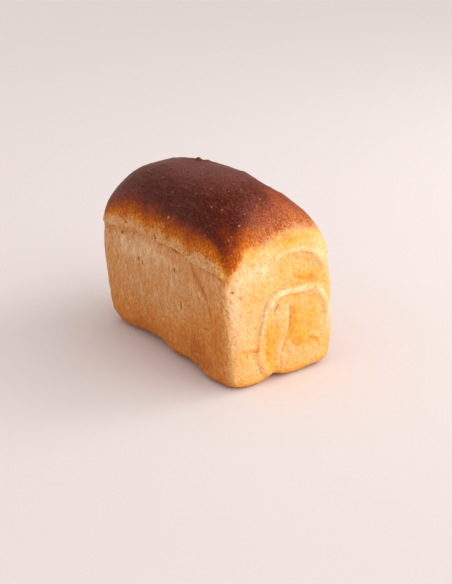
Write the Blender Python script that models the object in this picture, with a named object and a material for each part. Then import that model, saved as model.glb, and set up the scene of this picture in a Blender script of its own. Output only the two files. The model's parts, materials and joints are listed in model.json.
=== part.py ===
"""White sandwich loaf, baked in a tall open tin and turned out whole.

The loaf is one solid. Its length runs along X and its width along Y, and it stands on Z = 0 with the
origin under its middle. The walls took the shape of the tin. The crown rose above the tin's rim. The
end at +X shows how the dough was rolled up: a tucked roll end, and a lap where the crown swelled over it.
"""

import math

import bmesh
import bpy
import numpy as np

MM = 0.001

# Driving dimensions, in metres
LENGTH = 0.230  # along X, at the tin's rim
WIDTH = 0.112  # along Y, at the tin's rim
RIM = 0.100  # height of the tin's rim, where the walls end
CROWN = 0.067  # rise of the crown above the rim

# The walls
TAPER = 0.030  # how much each wall leans in, for each metre down from the rim
WALL_BULGE = 2.6 * MM  # swelling of a wall at half height
BASE_RADIUS = 9 * MM  # rounding of the bottom edge
WALL_SQUARENESS = (14.0, 8.0)  # exponents of the outline along X and Y, where the tin's corners are

# The crown
CROWN_RISE = (2.83, 2.05)  # how long the flanks stay upright, along X and Y
CROWN_ROUND = (2.66, 2.60)  # how full the shoulders are, along X and Y
CROWN_SQUARENESS = (3.1, 2.6)  # the outline's exponents at the very top
CORNER_FADE = 1.84  # how soon the tin's corners fade out above the rim
OVERHANG = 0.9 * MM  # swelling of the crown over the rim
LEAN = (-4.5 * MM, -0.7 * MM)  # how far the top sits off the middle

# The long bottom edges, which shrank up and in along the length
WAIST = 3.6 * MM
WAIST_HEIGHT = 48 * MM
LIFT = 3.4 * MM
LIFT_HEIGHT = 20 * MM
LIFT_FROM = 0.46  # share of the half width where the lift begins
LIFT_LENGTH = 0.42  # share of the length over which each way the lift fades out
LIFT_HUMPS = ((-15, 13, 1.8), (57, 10, 1.6))  # middle along X, spread and height, in millimetres

# The bottom edges of the two ends, pulled up where the tucks are
END_LIFT_REACH = 22 * MM  # how far in from the end
END_HUMPS = (  # which end, then middle along Y, spread and height, in millimetres
    (1, -9, 9, 4.4),
    (1, 33, 12, 1.4),
    (-1, 6, 10, 2.6),
)

# The mesh before and after it is thinned
GRID_CELL = 2.2 * MM
TRIANGLES = 9000
HEART = (0.0, 0.0, 0.070)  # every point of the starting box sinks towards this one
NEARLY_FLAT = 0.05 * MM  # what lies lower than this after thinning is part of the flat foot

# The folds, in millimetres. A path on an end is (y, z) and a path on a side is (x, z). A lip stands up
# along the path and a groove runs beside it, on the left of the path's direction where beside is positive.
ROLL_END = (
    (-14, 7), (-22, 17), (-27, 33), (-24, 51), (-21, 62), (-13.5, 74), (-4, 79.5), (6, 80.5),
    (19, 79.5), (31, 79), (40, 72), (45.5, 60), (48, 44), (48, 24),
)
INNER_FLAP = ((0, 76), (-8, 68), (-17, 61), (-22, 53))
RIM_LAP = ((-27, 97), (-15, 103), (-5, 108), (5, 112), (15, 113), (24, 111), (33, 106.5), (41, 99.5), (46.5, 90))
TUCK = ((-4, 1), (-6, 13), (-5.5, 25), (-3, 34), (1.5, 41), (5.5, 52), (8, 61), (6.5, 70))
TUCK_SHOULDER = ((2, 6), (5, 22), (13, 33), (25, 36), (37, 29))
CORNER_WRINKLE = ((-45, 39), (-37, 36.5), (-30, 37), (-24, 39))
SIDE_CREASE = ((50, 103), (60, 99), (68, 95), (79, 88), (88, 77), (92, 66), (93, 54))
FAR_CREASE = ((-95, 99), (-88, 90), (-78, 79), (-72, 64))
NEAR_SHOULDER = (
    (-119, 101), (-98, 104.5), (-71, 108), (-42, 112.5), (-11, 115.5), (20, 115), (59, 112.5), (93, 109), (114, 100),
)
FAR_SHOULDER = ((-119, 101), (-80, 108), (-30, 115), (25, 116), (75, 110), (119, 101))
BACK_SEAM = ((-38, 20), (-25, 52), (-6, 74), (12, 77), (29, 64), (38, 38))
BACK_LAP = ((-38, 99), (-18, 107), (4, 110), (27, 105), (42, 96))
BACK_TUCK = ((9, 0), (7, 18), (2, 40), (-4, 58))
LEFT_CREASE = ((-62, 94), (-48, 84), (-40, 66), (-38, 48))

# name, face, path, lip height, lip width, groove depth, groove width, beside (all in millimetres)
FOLDS = (
    ("roll end", "+x", ROLL_END, 1.9, 4.0, 1.5, 2.6, 5.0),
    ("inner flap", "+x", INNER_FLAP, 0.5, 3.0, 1.1, 2.6, 3.4),
    ("rim lap", "+x", RIM_LAP, 1.2, 4.6, 0.6, 4.6, -7.0),
    ("tuck", "+x", TUCK, 0.5, 3.4, 1.7, 2.6, 3.0),
    ("tuck shoulder", "+x", TUCK_SHOULDER, 0.8, 4.0, 1.0, 3.0, 4.2),
    ("corner wrinkle", "+x", CORNER_WRINKLE, 0.5, 3.4, 0.9, 2.8, -3.4),
    ("side crease", "-y", SIDE_CREASE, 0.4, 4.0, 0.8, 2.8, 3.6),
    ("far crease", "-y", FAR_CREASE, 0.3, 3.6, 0.6, 2.8, 3.4),
    ("near shoulder", "-y", NEAR_SHOULDER, 0.7, 5.0, 0.9, 3.6, -6.0),
    ("far shoulder", "+y", FAR_SHOULDER, 0.7, 5.0, 0.9, 3.6, -6.0),
    ("back seam", "-x", BACK_SEAM, 1.5, 4.2, 1.2, 2.8, 4.6),
    ("back lap", "-x", BACK_LAP, 1.0, 4.6, 0.7, 4.0, -6.5),
    ("back tuck", "-x", BACK_TUCK, 0.5, 3.4, 1.4, 2.8, 3.0),
    ("left crease", "+y", LEFT_CREASE, 0.4, 4.0, 0.8, 2.8, 3.4),
)

# Shallow hollows: name, face, middle, spread each way and depth (all in millimetres)
HOLLOWS = (
    ("under the rim lap", "+x", (26, 93), (20, 8), 1.7),
    ("curl of the roll", "+x", (17, 27), (11, 8), 1.1),
    ("under the back lap", "-x", (-4, 91), (22, 8), 1.2),
)

# Slow unevenness of the hand-shaped dough: direction of each wave, its length, its height and its phase
DOUGH_WAVES = (
    ((0.81, 0.32, 0.49), 0.094, 0.50 * MM, 0.4),
    ((-0.35, 0.74, 0.57), 0.067, 0.36 * MM, 2.1),
    ((0.12, -0.55, 0.83), 0.053, 0.30 * MM, 4.0),
    ((0.70, 0.65, -0.29), 0.041, 0.22 * MM, 1.2),
)

CRUST_COLOUR = (0.60, 0.33, 0.14, 1.0)
CRUST_ROUGHNESS = 0.55


def wall_half_sizes(z):
    """Half length and half width of the pressed walls at height z."""
    share = np.clip(z / RIM, 0.0, 1.0)
    bulge = WALL_BULGE * 4 * share * (1 - share)
    below = np.clip(BASE_RADIUS - z, 0.0, BASE_RADIUS)
    edge = BASE_RADIUS - np.sqrt(BASE_RADIUS**2 - below**2)
    inset = TAPER * (RIM - np.minimum(z, RIM)) + edge - bulge
    return LENGTH / 2 - inset, WIDTH / 2 - inset


def crown_half_sizes(z):
    """Half length and half width of the crown at height z above the rim."""
    share = np.clip((z - RIM) / CROWN, 0.0, 1.0)
    swelling = OVERHANG * np.sin(np.pi * np.minimum(share * 2, 1.0))
    half_length = LENGTH / 2 * (1 - share ** CROWN_RISE[0]) ** (1 / CROWN_ROUND[0]) + swelling
    half_width = WIDTH / 2 * (1 - share ** CROWN_RISE[1]) ** (1 / CROWN_ROUND[1]) + swelling
    return half_length, half_width


def is_inside(points):
    """Whether each point lies within the plain loaf, before its folds."""
    x, y, z = points.T
    in_crown = z > RIM
    share = np.clip((z - RIM) / CROWN, 0.0, 1.0)
    wall, crown = wall_half_sizes(z), crown_half_sizes(z)
    half_length = np.maximum(np.where(in_crown, crown[0], wall[0]), 1e-6)
    half_width = np.maximum(np.where(in_crown, crown[1], wall[1]), 1e-6)
    corners = np.where(in_crown, (1 - share) ** CORNER_FADE, 1.0)
    along = CROWN_SQUARENESS[0] + (WALL_SQUARENESS[0] - CROWN_SQUARENESS[0]) * corners
    across = CROWN_SQUARENESS[1] + (WALL_SQUARENESS[1] - CROWN_SQUARENESS[1]) * corners
    outline = (np.abs(x - LEAN[0] * share) / half_length) ** along
    outline += (np.abs(y - LEAN[1] * share) / half_width) ** across
    return (outline <= 1) & (z >= 0) & (z <= RIM + CROWN)


def sink_to_crust(points):
    """Moves each point of the starting box towards the heart until it meets the crust."""
    heart = np.array(HEART)
    way = points - heart
    near, far = np.zeros(len(points)), np.full(len(points), 1.2)
    for _ in range(32):
        middle = (near + far) / 2
        inside = is_inside(heart + way * middle[:, None])
        near = np.where(inside, middle, near)
        far = np.where(inside, far, middle)
    return heart + way * near[:, None]


def fade(value, start, end):
    """A smooth step from 0 at start to 1 at end."""
    share = np.clip((value - start) / (end - start), 0.0, 1.0)
    return share * share * (3 - 2 * share)


def hump(value, middle, spread):
    """A rounded rise to 1 at the middle."""
    return np.exp(-(((value - middle) / spread) ** 2))


def draw_in_bottom_edges(points):
    """The bottom edges shrank up off the tin, and the long ones also in towards the middle."""
    x, y, z = points.T
    arch = np.clip(1 - (x / (LENGTH * LIFT_LENGTH)) ** 2, 0.0, 1.0) ** 1.5
    waist = WAIST * arch * (1 - fade(z, 0.0, WAIST_HEIGHT))
    lift = LIFT * arch
    for middle, spread, height in LIFT_HUMPS:
        lift = lift + height * MM * hump(x / MM, middle, spread)
    lift = lift * fade(np.abs(y), LIFT_FROM * WIDTH / 2, WIDTH / 2 - BASE_RADIUS / 2)
    for end, middle, spread, height in END_HUMPS:
        near_end = fade(end * x, LENGTH / 2 - END_LIFT_REACH, LENGTH / 2 - BASE_RADIUS)
        lift = lift + height * MM * hump(y / MM, middle, spread) * near_end
    moved = points.copy()
    moved[:, 1] -= np.sign(y) * waist * np.clip(np.abs(y) / (WIDTH / 2), 0.0, 1.0)
    moved[:, 2] += lift * (1 - fade(z, 0.0, LIFT_HEIGHT))
    return moved


def smooth_path(corners, steps=8):
    """Points of a smooth curve through the corners of a path."""
    corners = np.array(corners, float)
    padded = np.vstack([2 * corners[0] - corners[1], corners, 2 * corners[-1] - corners[-2]])
    found = []
    for before, start, end, after in zip(padded, padded[1:], padded[2:], padded[3:]):
        for step in range(steps):
            t = step / steps
            pull = 2 * start + (end - before) * t
            pull = pull + (2 * before - 5 * start + 4 * end - after) * t * t
            pull = pull + (3 * start - before - 3 * end + after) * t**3
            found.append(pull / 2)
    found.append(corners[-1])
    return np.array(found)


def side_distance(flat, path):
    """Distance of each flat point from a path, positive on its left, and how near it is to the path's ends."""
    best = np.full(len(flat), np.inf)
    signed, along = np.zeros(len(flat)), np.zeros(len(flat))
    lengths = np.linalg.norm(np.diff(path, axis=0), axis=1)
    run = np.concatenate([[0.0], np.cumsum(lengths)])
    for index, (start, end) in enumerate(zip(path, path[1:])):
        way = end - start
        share = np.clip((flat - start) @ way / (way @ way), 0.0, 1.0)
        apart = flat - start - share[:, None] * way
        distance = np.linalg.norm(apart, axis=1)
        side = np.sign(way[0] * apart[:, 1] - way[1] * apart[:, 0])
        nearer = distance < best
        best = np.where(nearer, distance, best)
        signed = np.where(nearer, distance * side, signed)
        along = np.where(nearer, run[index] + share * lengths[index], along)
    ends = np.minimum(along, run[-1] - along)
    return signed, ends


def facing(normals, face):
    """How squarely each point faces the way that a face of the loaf looks."""
    sign = 1.0 if face[0] == "+" else -1.0
    return fade(sign * normals[:, "xyz".index(face[1])], 0.25, 0.75)


def flattened(points, face):
    """Each point's place on a face, in millimetres: across and up."""
    across = points[:, 1] if face[1] == "x" else points[:, 0]
    return np.column_stack([across, points[:, 2]]) / MM


def fold_relief(points, normals, face, path, lip, lip_width, groove, groove_width, beside):
    """How far a fold lifts or sinks each point, in metres."""
    signed, ends = side_distance(flattened(points, face), smooth_path(path))
    raised = lip * hump(signed, 0, lip_width)
    sunk = groove * hump(signed, beside, groove_width)
    return MM * (raised - sunk) * fade(ends, -1.0, 6.0) * facing(normals, face)


def hollow_relief(points, normals, face, middle, spread, depth):
    """How far a shallow hollow sinks each point, in metres."""
    across, up = flattened(points, face).T
    sunk = depth * hump(across, middle[0], spread[0]) * hump(up, middle[1], spread[1])
    return -MM * sunk * facing(normals, face)


def dough_waves(points):
    """The slow unevenness of hand-shaped dough."""
    total = np.zeros(len(points))
    for direction, length, height, phase in DOUGH_WAVES:
        total += height * np.sin(points @ np.array(direction) * math.tau / length + phase)
    return total


def relief(points, normals):
    """How far each point stands proud of the plain form, in metres."""
    total = np.zeros(len(points))
    for _, *fold in FOLDS:
        total += fold_relief(points, normals, *fold)
    for _, *hollow in HOLLOWS:
        total += hollow_relief(points, normals, *hollow)
    height = points[:, 2]
    return total * fade(height, 0.0, 4 * MM) + dough_waves(points) * fade(height, 1 * MM, 16 * MM)


def clear_scene():
    for thing in list(bpy.data.objects):
        bpy.data.objects.remove(thing, do_unlink=True)


def crust_material():
    material = bpy.data.materials.new("baked_crust")
    material.use_nodes = True
    shader = material.node_tree.nodes["Principled BSDF"]
    shader.inputs["Base Color"].default_value = CRUST_COLOUR
    shader.inputs["Roughness"].default_value = CRUST_ROUGHNESS
    shader.inputs["Metallic"].default_value = 0.0
    material.diffuse_color = CRUST_COLOUR
    return material


def gridded_box():
    """A box of the loaf's outer size, sliced into even cells."""
    mesh = bmesh.new()
    bmesh.ops.create_cube(mesh, size=1.0)
    bmesh.ops.scale(mesh, vec=(LENGTH, WIDTH, RIM + CROWN), verts=mesh.verts)
    bmesh.ops.translate(mesh, vec=(0, 0, (RIM + CROWN) / 2), verts=mesh.verts)
    for axis, low, size in ((0, -LENGTH / 2, LENGTH), (1, -WIDTH / 2, WIDTH), (2, 0.0, RIM + CROWN)):
        cells = round(size / GRID_CELL)
        for cut in range(1, cells):
            place, normal = [0.0, 0.0, 0.0], [0.0, 0.0, 0.0]
            place[axis] = low + size * cut / cells
            normal[axis] = 1.0
            bmesh.ops.bisect_plane(mesh, geom=mesh.verts[:] + mesh.edges[:] + mesh.faces[:],
                                   plane_co=place, plane_no=normal)
    return mesh


def points_of(mesh):
    return np.array([vert.co[:] for vert in mesh.verts])


def set_points(mesh, points):
    for vert, point in zip(mesh.verts, points):
        vert.co = point
    mesh.normal_update()


def thinned(body):
    """Thins the even grid, which keeps small triangles only where the crust bends."""
    body.data.update()
    triangles = sum(len(face.vertices) - 2 for face in body.data.polygons)
    thin = body.modifiers.new("thin", "DECIMATE")
    thin.ratio = TRIANGLES / triangles
    graph = bpy.context.evaluated_depsgraph_get()
    mesh = bpy.data.meshes.new_from_object(body.evaluated_get(graph))
    body.modifiers.clear()
    body.data = mesh


def set_on_ground(body):
    """Makes the foot truly flat and puts the origin under the middle of the loaf."""
    mesh = body.data
    points = np.empty(len(mesh.vertices) * 3, np.float32)
    mesh.vertices.foreach_get("co", points)
    points = points.reshape(-1, 3)
    points[points[:, 2] < NEARLY_FLAT, 2] = 0.0
    low, high = points.min(axis=0), points.max(axis=0)
    points[:, :2] -= (low[:2] + high[:2]) / 2
    mesh.vertices.foreach_set("co", points.ravel())
    mesh.update()


def make_loaf(collection):
    mesh = gridded_box()
    plain = draw_in_bottom_edges(sink_to_crust(points_of(mesh)))
    set_points(mesh, plain)
    normals = np.array([vert.normal[:] for vert in mesh.verts])
    set_points(mesh, plain + normals * relief(plain, normals)[:, None])
    data = bpy.data.meshes.new("loaf")
    mesh.to_mesh(data)
    mesh.free()
    loaf = bpy.data.objects.new("loaf", data)
    collection.objects.link(loaf)
    thinned(loaf)
    set_on_ground(loaf)
    loaf.data.name = "loaf"
    loaf.data.materials.clear()
    loaf.data.materials.append(crust_material())
    loaf.data.shade_smooth()
    return loaf


def main():
    clear_scene()
    collection = bpy.data.collections.new("sandwich_loaf")
    bpy.context.scene.collection.children.link(collection)
    make_loaf(collection)


main()
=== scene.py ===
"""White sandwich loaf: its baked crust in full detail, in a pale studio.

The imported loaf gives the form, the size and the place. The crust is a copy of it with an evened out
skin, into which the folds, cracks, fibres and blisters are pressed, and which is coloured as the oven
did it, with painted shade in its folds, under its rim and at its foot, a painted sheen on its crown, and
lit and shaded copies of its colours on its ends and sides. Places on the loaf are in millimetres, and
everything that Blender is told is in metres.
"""

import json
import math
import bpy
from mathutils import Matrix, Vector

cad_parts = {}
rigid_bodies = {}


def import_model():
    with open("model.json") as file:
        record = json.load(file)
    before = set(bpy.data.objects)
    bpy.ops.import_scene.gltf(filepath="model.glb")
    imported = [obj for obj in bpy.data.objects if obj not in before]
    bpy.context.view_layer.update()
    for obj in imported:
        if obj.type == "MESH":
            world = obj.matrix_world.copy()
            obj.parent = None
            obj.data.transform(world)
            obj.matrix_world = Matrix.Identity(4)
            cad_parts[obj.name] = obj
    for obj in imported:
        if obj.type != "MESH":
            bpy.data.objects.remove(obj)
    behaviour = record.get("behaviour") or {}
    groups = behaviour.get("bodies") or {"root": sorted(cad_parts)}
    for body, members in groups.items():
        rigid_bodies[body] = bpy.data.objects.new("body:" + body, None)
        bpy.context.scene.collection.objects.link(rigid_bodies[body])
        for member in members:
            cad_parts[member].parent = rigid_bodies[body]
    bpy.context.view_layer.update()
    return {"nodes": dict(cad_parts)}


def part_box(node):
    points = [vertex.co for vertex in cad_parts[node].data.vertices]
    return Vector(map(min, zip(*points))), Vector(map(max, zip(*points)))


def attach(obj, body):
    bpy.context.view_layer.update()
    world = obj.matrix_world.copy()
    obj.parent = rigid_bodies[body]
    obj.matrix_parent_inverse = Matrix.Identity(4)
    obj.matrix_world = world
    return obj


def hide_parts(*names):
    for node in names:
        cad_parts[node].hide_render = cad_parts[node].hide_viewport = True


bl_info = {
    "name": "Sandwich Loaf",
    "version": (1, 0, 0),
    "blender": (4, 5, 0),
    "location": "View3D > Sidebar > Loaf",
    "description": "Finishes the crust of a tin-baked sandwich loaf and sets it in a pale studio",
    "category": "Object",
}

import bpy
import numpy as np
from bpy.props import FloatProperty, FloatVectorProperty, IntProperty, PointerProperty
from mathutils import Quaternion, Vector

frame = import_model()

MM = 0.001
NODE = "loaf"
LOW, HIGH = (Vector(corner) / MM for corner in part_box(NODE))
HALF_LENGTH = (HIGH.x - LOW.x) / 2
HALF_WIDTH = (HIGH.y - LOW.y) / 2

# Folds and cracks on each face: depth, half width and path, in millimetres. A path is (y, z) on an end and
# (x, z) on a side, in the order in which a finger would follow it. With a depth below FOLD_LIMIT it is a
# soft fold, coloured amber, and above it a crack, coloured dark: both partly the colour the crust took and
# partly painted shade in the hollow. None goes deeper than the Crease Depth below: past that, a greater
# number only makes a crack broader.
FOLD_LIMIT = 0.6
CREASES = {"+x": (
    (0.58, 1.1, ((-22, 5), (-25, 14), (-28.5, 26), (-28.5, 38), (-27.5, 46), (-25.5, 55), (-23, 64))),
    (0.58, 1.0, ((-24, 61), (-21, 70), (-17.5, 77), (-13, 81), (-7, 83.5))),
    (0.5, 1.5, (
        (-8, 83), (-2, 85), (6, 84.5), (14, 83.5), (22, 83.5), (29, 83), (35, 81), (41, 76), (46, 65))),
    (0.4, 1.8, ((-24, 58), (-19, 65), (-14, 70), (-9, 73), (-3, 76), (3, 76.5), (10, 75), (18, 73))),
    (0.4, 1.8, ((18, 73), (26, 71.5), (31, 69), (36, 64), (39.5, 58), (41, 48), (41, 38))),
    (0.85, 1.0, ((-4, 73), (-7.5, 70.5), (-10, 67.5), (-11.5, 64))),
    (0.58, 1.2, (
        (-3, 0), (-3.5, 10), (-4.5, 20), (-3.5, 28), (-1, 36), (2, 42), (4.5, 50), (5.8, 60), (5, 70))),
    (0.7, 0.9, ((9, 70), (9.5, 65), (9, 61))),
    (0.35, 1.6, (
        (-4, 109), (4, 110.5), (13, 111), (22, 110.5), (29, 107), (35, 102), (39, 96), (42, 90))),
    (0.4, 1.6, ((-46, 38), (-38, 35.5), (-32, 37))),
    (0.75, 1.0, ((-34, 37.5), (-31, 34), (-28.5, 34.5), (-28.5, 38))),
    (0.75, 0.9, ((-20, 31.5), (-18, 29), (-15.5, 26.5))),
    (0.7, 1.6, ((4, 37), (8, 32), (12, 29), (16, 27))),
    (0.5, 1.2, ((-3, 25), (1, 26.5), (5, 23.5), (9, 20))),
    (0.66, 1.0, ((23, 31), (27, 32), (32, 28.5), (35, 26))),
    (0.66, 0.9, ((27, 38), (28, 34), (27, 31))),
    (0.4, 1.5, ((14, 21), (20, 19.5), (27, 21))),
    (0.45, 1.3, ((-20, 54), (-17, 45), (-16, 36))),
    (0.45, 1.2, ((-9, 58), (-9, 48), (-11, 40))),
    (0.5, 1.3, ((14, 92), (19, 88), (26, 85.5), (34, 84))),
    (0.45, 1.3, ((-19, 119.5), (-13, 123.5), (-8, 125), (-4, 128.5), (4, 129))),
    (0.66, 1.0, ((-48, 95), (-46.5, 100), (-43.5, 103.5))),
    (1.1, 1.0, ((-51, 90), (-48, 90.5), (-45.5, 92.5))),
    (0.9, 0.9, ((-44, 88), (-42, 84), (-43, 81))),
), "-y": (
    (0.58, 1.5, (
        (59, 108), (61, 101), (64, 95.5), (70, 91.5), (76, 88.5), (82, 84.5), (86, 77), (89, 69),
        (92, 60))),
    (0.7, 1.7, ((90, 109), (96, 105), (102, 101), (108, 97))),
    (0.58, 1.0, ((-95, 101), (-89, 96), (-86, 90), (-82, 85), (-77, 79), (-75, 72))),
    (1.68, 1.5, ((-71, 102.5), (-68, 101.5), (-65, 101))),
    (1.54, 1.0, ((-61, 117), (-57, 115.5), (-52, 113))),
    (1.4, 1.0, ((-51, 104.5), (-47, 102.5), (-43.5, 99))),
    (1.82, 1.6, ((-15, 116), (-12, 115), (-9, 113))),
    (1.82, 1.6, ((-2, 116.5), (3, 114.5), (8, 112))),
    (1.54, 1.4, ((27, 109), (33, 108.5), (41, 107))),
    (1.82, 1.6, ((-35, 88), (-34, 85.5), (-32, 82.5))),
    (1.4, 1.0, ((-28, 85), (-26, 82.5), (-25, 79.5))),
    (1.82, 1.4, ((30, 94), (32, 91), (33, 87.5))),
    (1.54, 1.3, ((-2, 69), (-0.5, 67), (1, 63.5))),
    (1.54, 1.3, ((41, 67), (40.5, 62), (41.5, 56.5))),
    (1.33, 1.0, ((47, 65), (50.5, 68), (55, 69.5))),
    (0.7, 1.0, ((67, 58), (69.5, 54.5), (72.5, 51.5))),
    (0.7, 1.0, ((74, 50), (79, 51), (84, 53.5))),
), "-x": (
    (0.58, 1.3, ((-40, 14), (-36, 38), (-27, 58), (-14, 74), (1, 81), (16, 79.5))),
    (0.5, 1.5, ((18, 78), (30, 69), (38, 54), (41, 36))),
    (0.58, 1.3, ((6, 0), (5, 14), (1, 30), (-4, 44), (-6, 60))),
    (0.75, 1.0, ((-18, 32), (-13, 29), (-11, 33), (-12, 39))),
    (0.66, 1.1, ((14, 26), (19, 30), (20, 37), (17, 44))),
    (0.8, 0.9, ((22, 18), (15, 15), (10, 17))),
    (0.45, 1.4, ((-22, 104), (-10, 108.5), (4, 109), (18, 106.5), (31, 100))),
    (0.9, 0.9, ((-44, 96), (-42, 91), (-43, 87))),
), "+y": (
    (0.55, 1.5, ((-64, 98), (-51, 86), (-43, 67), (-41, 50))),
    (1.54, 1.0, ((-12, 116), (-7, 115), (-2, 112))),
    (1.54, 1.0, ((40, 115), (46, 114), (50, 110))),
    (1.4, 1.0, ((12, 78), (14, 74), (13, 70))),
)}

SLANT = math.radians(-35)  # how the torn strands above the rim lean from the upright
LIP_POWER = 4  # 2 gives a lip a round top, and more a flatter one with crisper edges

# Lips, the raised edges that stay pale, on each face: height, half width and path, in millimetres
LIPS = {"+x": (
    (0.8, 2.6, ((-26, 46), (-24, 56), (-21.5, 64.5), (-17.5, 71.5))),
    (1.0, 3.2, (
        (-18, 71), (-12.5, 76.5), (-6, 79.7), (1, 80.8), (9, 80.2), (17, 79.3), (25, 78.5), (31, 77))),
    (1.0, 3.0, ((31, 77), (36.5, 73.5), (41, 67.5), (44, 60.5), (45.5, 52), (45.5, 40))),
    (0.7, 2.2, (
        (-8, 110), (0, 112), (7, 113.5), (15, 114), (23, 113), (30, 110.5), (37, 105.5), (42, 99),
        (45, 92))),
    (0.7, 1.8, (
        (-8, 14), (-7.5, 24), (-5, 33), (-1.5, 39), (0.8, 45), (2.2, 53), (2.8, 62), (1.8, 70))),
    (0.6, 2.2, ((-1, 34), (2.5, 34.5), (5.5, 32), (6.5, 28), (4.5, 25.5))),
    (0.35, 2.0, ((26, 36), (31, 33.5), (36, 33))),
    (0.4, 1.8, (
        (-19, 121.5), (-13, 125.5), (-8, 127), (-4, 130.5), (4, 131), (12, 131), (24, 128), (36, 123))),
    (0.5, 2.0, ((-26, 114), (-20, 117), (-14.5, 116), (-11, 112), (-9.5, 107))),
    (0.8, 2.4, ((34, 119), (37, 116.5))),
    (0.4, 2.4, ((-44, 42), (-36, 40), (-30, 41))),
    (0.4, 2.0, ((-21, 6), (-25, 14), (-30, 19), (-37, 21))),
), "-y": (
    (0.3, 2.2, ((70, 83), (76, 79), (80, 74))),
), "-x": (
    (0.8, 2.6, ((-36, 28), (-31, 46), (-23, 60), (-12, 71), (2, 77.5), (14, 76))),
    (0.8, 2.6, ((16, 75), (26, 67.5), (34, 54), (37, 40))),
    (0.6, 2.2, ((-26, 106), (-12, 111), (4, 112), (19, 109.5), (34, 102))),
    (0.5, 2.0, ((10, 4), (9, 16), (5, 31), (0, 45))),
)}

# Strokes of deeper colour in the hollows beside the folds, partly toast and partly painted shade on the
# shaded side of a fold, on each face: amount, and half width and path in millimetres
TOAST_AND_SHADE_STROKES = {"-y": (
    (1.3, 3.2, ((60.5, 103), (64.5, 97), (70, 92.5), (76, 88), (82, 83), (86, 77))),
    (0.7, 1.5, ((84, 82), (87, 75), (89, 69), (91, 62))),
    (0.35, 2.0, ((-92, 99), (-88, 94), (-85, 88), (-80, 82), (-77, 74))),
), "+x": (
    (0.75, 1.8, ((-4, 71.5), (-8, 68.5), (-11, 64))),
    (0.55, 2.8, ((8.5, 68), (8.5, 59), (8, 52), (6, 45), (3, 38))),
    (0.75, 3.0, ((5, 35), (8, 31.5), (12, 29.5))),
    (0.6, 1.8, ((22, 32), (27, 33), (32, 30), (36, 26))),
    (0.6, 2.0, ((11, 94), (16, 90), (23, 87), (31, 86), (38, 82.5))),
    (0.35, 1.6, ((-24, 55), (-21, 63), (-16, 69), (-12, 72))),
    (0.55, 2.2, ((-21, 50), (-18, 40), (-19, 30), (-17, 20))),
    (0.5, 1.8, ((-9, 44), (-11, 34), (-12, 25))),
    (0.55, 1.8, ((-36, 37), (-32, 35), (-29, 34))),
    (0.45, 1.6, ((-38, 60), (-34, 66), (-36, 72))),
    (0.4, 1.6, ((-2, 104), (0, 98), (5, 93))),
    (0.35, 1.8, ((4, 23), (8, 19.5), (13, 18))),
), "-x": (
    (0.6, 2.2, ((-8, 58), (-7, 46), (-2, 34), (3, 20))),
    (0.5, 2.0, ((-34, 44), (-27, 57), (-17, 68))),
    (0.7, 2.0, ((13, 27), (18, 30), (20, 36))),
    (0.5, 2.4, ((-16, 88), (-2, 90), (14, 89))),
), "+y": (
    (0.6, 2.0, ((-62, 96), (-52, 87), (-44, 70))),
)}

# Patches of the walls with more colour, or with less where the last number is negative, on each face:
# middle and spread each way in millimetres, and how strong
TOASTED = {"+x": (
    ((28, 88), (13, 8), 0.65), ((14, 33), (12, 8), 0.45), ((14, 55), (9, 16), 0.4),
    ((30, 50), (9, 14), 0.25), ((-14, 42), (7, 18), 0.4), ((-14, 18), (7, 8), 0.25),
    ((-34, 36), (8, 3), 0.2), ((8, 44), (9, 9), 0.4), ((-17, 91), (7, 6), 0.3), ((44, 42), (6, 14), -0.4),
    ((9, 124), (12, 10), 0.65), ((-29, 116), (8, 6), 0.2), ((-52, 103), (6, 8), 0.35),
    ((-24, 122), (13, 7), 0.75), ((-15, 72), (7, 6), -0.4), ((34, 124), (14, 4), 0.3),
    ((-47, 75), (7, 36), -0.5), ((-38, 100), (12, 14), -0.45), ((-16, 103), (13, 9), -0.45),
    ((-36, 52), (8, 12), -0.3), ((42, 104), (10, 12), -0.45), ((-18, 118), (18, 6), -0.3),
    ((6, 26), (10, 6), -0.35), ((30, 16), (16, 8), -0.3), ((-28, 14), (18, 12), -0.35),
), "-y": (
    ((56, 30), (22, 26), 0.4), ((100, 54), (23, 26), 0.65), ((114, 15), (12, 21), -1.0),
    ((-6, 98), (12, 8), -0.35), ((18, 98), (12, 7), -0.45), ((115, 54), (9, 26), -0.65),
    ((113, 103), (9, 8), 0.5), ((64, 40), (12, 20), 0.2), ((30, 100), (26, 5), 0.2),
    ((-88, 70), (9, 12), 0.25), ((-52, 92), (50, 15), -0.45), ((40, 84), (26, 14), -0.15),
), "-x": (
    ((-4, 92), (24, 8), 0.5), ((2, 40), (14, 20), 0.4), ((-40, 84), (12, 30), -0.5),
    ((36, 96), (12, 20), -0.4),
), "+y": (
    ((-30, 38), (50, 24), 0.3), ((20, 92), (70, 16), -0.35),
)}

# The shoulder on the long sides, where the walls end and the crown swells over the tin's rim: (x, z)
NEAR_SHOULDER = (
    (-119, 98), (-98, 101), (-71, 105), (-42, 109.5), (-11, 112.5), (20, 112), (59, 109.5), (93, 106.5),
    (114, 98),
)
FAR_SHOULDER = ((-119, 98), (-80, 105), (-30, 112), (25, 113), (75, 107), (119, 98))
END_SHOULDER = 110

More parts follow.
